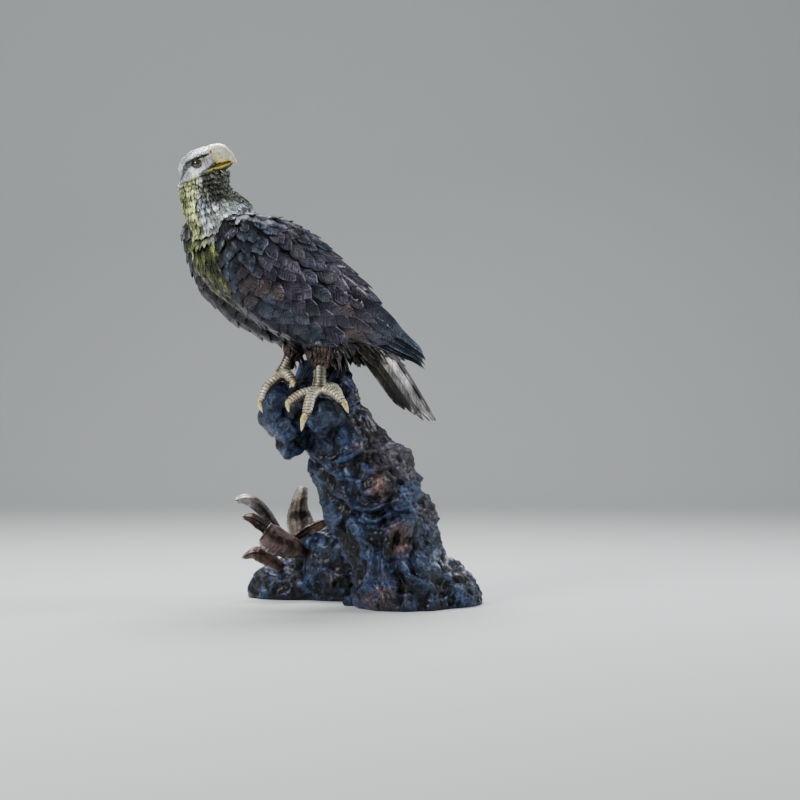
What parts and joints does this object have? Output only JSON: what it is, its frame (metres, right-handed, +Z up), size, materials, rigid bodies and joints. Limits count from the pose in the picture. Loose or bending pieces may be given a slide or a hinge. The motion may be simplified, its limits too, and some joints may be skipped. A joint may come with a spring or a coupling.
{
  "type": "patinated bronze garden statue of a bald eagle on a rock",
  "caption": "Life-size bronze eagle with folded wings and head turned back over its left shoulder, gripping boulders at the top of a leaning rock column with curled leaves at its foot.",
  "frame": {"origin": "centre of the bounding box, at the level the rock stands on", "axes": "+Z up; +X is the way the beak points and the side the tail hangs on; -Y is the statue's front, where its left wing is seen"},
  "size_m": [0.6662, 0.5068, 0.9995],
  "materials": {
    "silvered_feather": "bronze with silver-white and olive patina over dark recesses",
    "dark_feather": "dark brown patinated bronze, satin wax, worn feather edges",
    "tail_feather": "bronze with silver-pink patina and long brown striations",
    "thigh_feather": "red-brown patinated bronze tufts",
    "beak_claw": "gold patina, polished",
    "foot_scute": "cream-gold patina on ringed scutes with dark gaps",
    "eye": "black, gloss",
    "leaf_bronze": "red-brown patina with bright edges",
    "rock_bronze": "blue-black patina, waxed"
  },
  "bodies": {
    "root": {"bark_slab": "rock_bronze", "beak_lower": "beak_claw", "beak_upper": "beak_claw", "boulder_far_left": "rock_bronze", "boulder_front_left": "rock_bronze", "boulder_front_right": "rock_bronze", "boulder_saddle": "rock_bronze", "claw_left_hind": "beak_claw", "claw_left_inner": "beak_claw", "claw_left_middle": "beak_claw", "claw_left_outer": "beak_claw", "claw_right_hind": "beak_claw", "claw_right_inner": "beak_claw", "claw_right_middle": "beak_claw", "claw_right_outer": "beak_claw", "eye_left": "eye", "eye_right": "eye", "foot_left": "foot_scute", "foot_right": "foot_scute", "head": "silvered_feather", "leaf_folded": "leaf_bronze", "leaf_ground": "leaf_bronze", "leaf_hook": "leaf_bronze", "leaf_low": "leaf_bronze", "leaf_spear": "leaf_bronze", "leaf_upright": "leaf_bronze", "neck": "silvered_feather", "pebble_knob": "rock_bronze", "rock_column": "rock_bronze", "rock_crest": "rock_bronze", "rock_mound": "rock_bronze", "rock_ramp": "rock_bronze", "rock_skirt": "rock_bronze", "shank_left": "foot_scute", "shank_right": "foot_scute", "shard_brown": "rock_bronze", "shard_oval": "rock_bronze", "tail": "tail_feather", "thigh_left": "thigh_feather", "thigh_right": "thigh_feather", "toe_left_hind": "foot_scute", "toe_left_inner": "foot_scute", "toe_left_middle": "foot_scute", "toe_left_outer": "foot_scute", "toe_right_hind": "foot_scute", "toe_right_inner": "foot_scute", "toe_right_middle": "foot_scute", "toe_right_outer": "foot_scute", "trunk": "dark_feather", "wing_left": "dark_feather", "wing_left_primaries": "dark_feather", "wing_right": "dark_feather", "wing_right_primaries": "dark_feather"}
  },
  "joints": []
}
